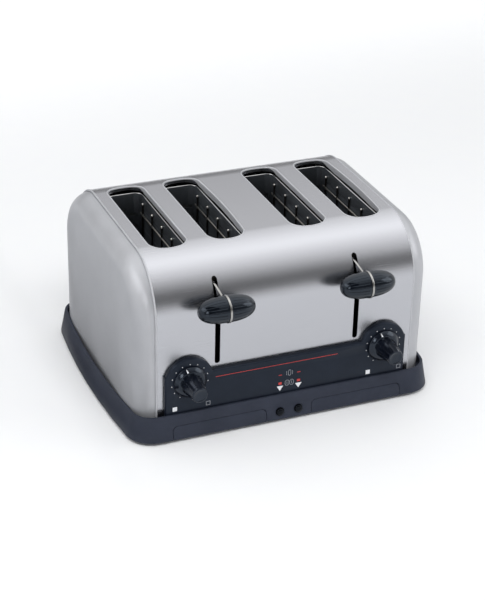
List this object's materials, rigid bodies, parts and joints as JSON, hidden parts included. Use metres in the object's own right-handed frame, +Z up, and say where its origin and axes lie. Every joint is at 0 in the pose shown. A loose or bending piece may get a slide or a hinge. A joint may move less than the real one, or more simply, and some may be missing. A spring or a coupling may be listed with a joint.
{
  "type": "countertop toaster",
  "caption": "Countertop toaster with long bread slots in a folded steel cover, side-by-side lift levers, browning dials, push buttons and pull-out crumb trays on a dark moulded base.",
  "frame": {"origin": "middle of the footprint at the underside of the rubber feet", "axes": "+X to the right seen from the control side, +Y to the back, +Z up"},
  "size_m": [0.312, 0.2676, 0.1686],
  "materials": {
    "base_plastic": "satin moulded, charcoal",
    "panel_plastic": "satin moulded, charcoal",
    "cover_steel": "brushed along the width",
    "cap_silver": "satin silver paint",
    "knob_plastic": "satin black",
    "handle_plastic": "glossy blue-black",
    "lever_steel": "bright plate",
    "well_steel": "heat-stained sheet",
    "wire_steel": "bright wire",
    "rack_steel": "plated sheet",
    "frame_steel": "galvanised sheet",
    "bright_steel": "drawn bar and wire",
    "mica": "mica sheet with dull ribbon",
    "control_black": "moulded black",
    "board_green": "coated board",
    "foot_rubber": "black rubber"
  },
  "bodies": {
    "housing": {"base_screws": "bright_steel", "base_tray": "base_plastic", "bread_guard_1_left": "wire_steel", "bread_guard_1_right": "wire_steel", "bread_guard_2_left": "wire_steel", "bread_guard_2_right": "wire_steel", "bread_guard_3_left": "wire_steel", "bread_guard_3_right": "wire_steel", "bread_guard_4_left": "wire_steel", "bread_guard_4_right": "wire_steel", "browning_control_left": "control_black", "browning_control_right": "control_black", "button_switch_left": "control_black", "button_switch_right": "control_black", "control_board": "board_green", "control_panel": "panel_plastic", "cord_grommet": "foot_rubber", "end_cap_left": "cap_silver", "end_cap_right": "cap_silver", "front_bulkhead": "frame_steel", "guide_rod_left": "bright_steel", "guide_rod_right": "bright_steel", "heater_cards_1": "mica", "heater_cards_2": "mica", "heater_cards_3": "mica", "heater_cards_4": "mica", "latch_magnet_left": "control_black", "latch_magnet_right": "control_black", "lift_spring_left": "bright_steel", "lift_spring_right": "bright_steel", "rear_bulkhead": "frame_steel", "rubber_feet": "foot_rubber", "toast_well_1": "well_steel", "toast_well_2": "well_steel", "toast_well_3": "well_steel", "toast_well_4": "well_steel", "wrap_cover": "cover_steel"},
    "left_lever": {"lever_arm_left": "lever_steel", "handle_outer_left": "handle_plastic", "handle_inner_left": "handle_plastic", "carriage_left": "rack_steel", "bread_rack_1": "rack_steel", "bread_rack_2": "rack_steel"},
    "left_dial": {"dial_knob_left": "knob_plastic", "dial_shaft_left": "bright_steel"},
    "left_button": {"push_button_left": "knob_plastic"},
    "left_tray": {"tray_front_left": "base_plastic", "tray_pan_left": "frame_steel"},
    "right_lever": {"lever_arm_right": "lever_steel", "handle_outer_right": "handle_plastic", "handle_inner_right": "handle_plastic", "carriage_right": "rack_steel", "bread_rack_3": "rack_steel", "bread_rack_4": "rack_steel"},
    "right_dial": {"dial_knob_right": "knob_plastic", "dial_shaft_right": "bright_steel"},
    "right_button": {"push_button_right": "knob_plastic"},
    "right_tray": {"tray_front_right": "base_plastic", "tray_pan_right": "frame_steel"}
  },
  "joints": [
    {"name": "left_lever_press", "type": "slide", "parent": "housing", "child": "left_lever", "axis": [0, 0, -1], "range_m": [0, 0.06], "stiffness_N_per_m": 120, "springref_m": -0.06, "deforming": ["lift_spring_left"]},
    {"name": "left_dial_turn", "type": "hinge", "parent": "housing", "child": "left_dial", "pos_m": [-0.0954, -0.1065, 0.0573], "axis": [0, 1, 0], "range_deg": [-130, 164]},
    {"name": "left_button_press", "type": "slide", "parent": "housing", "child": "left_button", "axis": [0, 1, 0], "range_m": [0, 0.002], "stiffness_N_per_m": 800, "springref_m": -0.001},
    {"name": "left_tray_pull", "type": "slide", "parent": "housing", "child": "left_tray", "axis": [0, -1, 0], "range_m": [0, 0.19]},
    {"name": "right_lever_press", "type": "slide", "parent": "housing", "child": "right_lever", "axis": [0, 0, -1], "range_m": [0, 0.06], "stiffness_N_per_m": 120, "springref_m": -0.06, "deforming": ["lift_spring_right"]},
    {"name": "right_dial_turn", "type": "hinge", "parent": "housing", "child": "right_dial", "pos_m": [0.0954, -0.1065, 0.0573], "axis": [0, 1, 0], "range_deg": [-130, 164]},
    {"name": "right_button_press", "type": "slide", "parent": "housing", "child": "right_button", "axis": [0, 1, 0], "range_m": [0, 0.002], "stiffness_N_per_m": 800, "springref_m": -0.001},
    {"name": "right_tray_pull", "type": "slide", "parent": "housing", "child": "right_tray", "axis": [0, -1, 0], "range_m": [0, 0.19]}
  ]
}
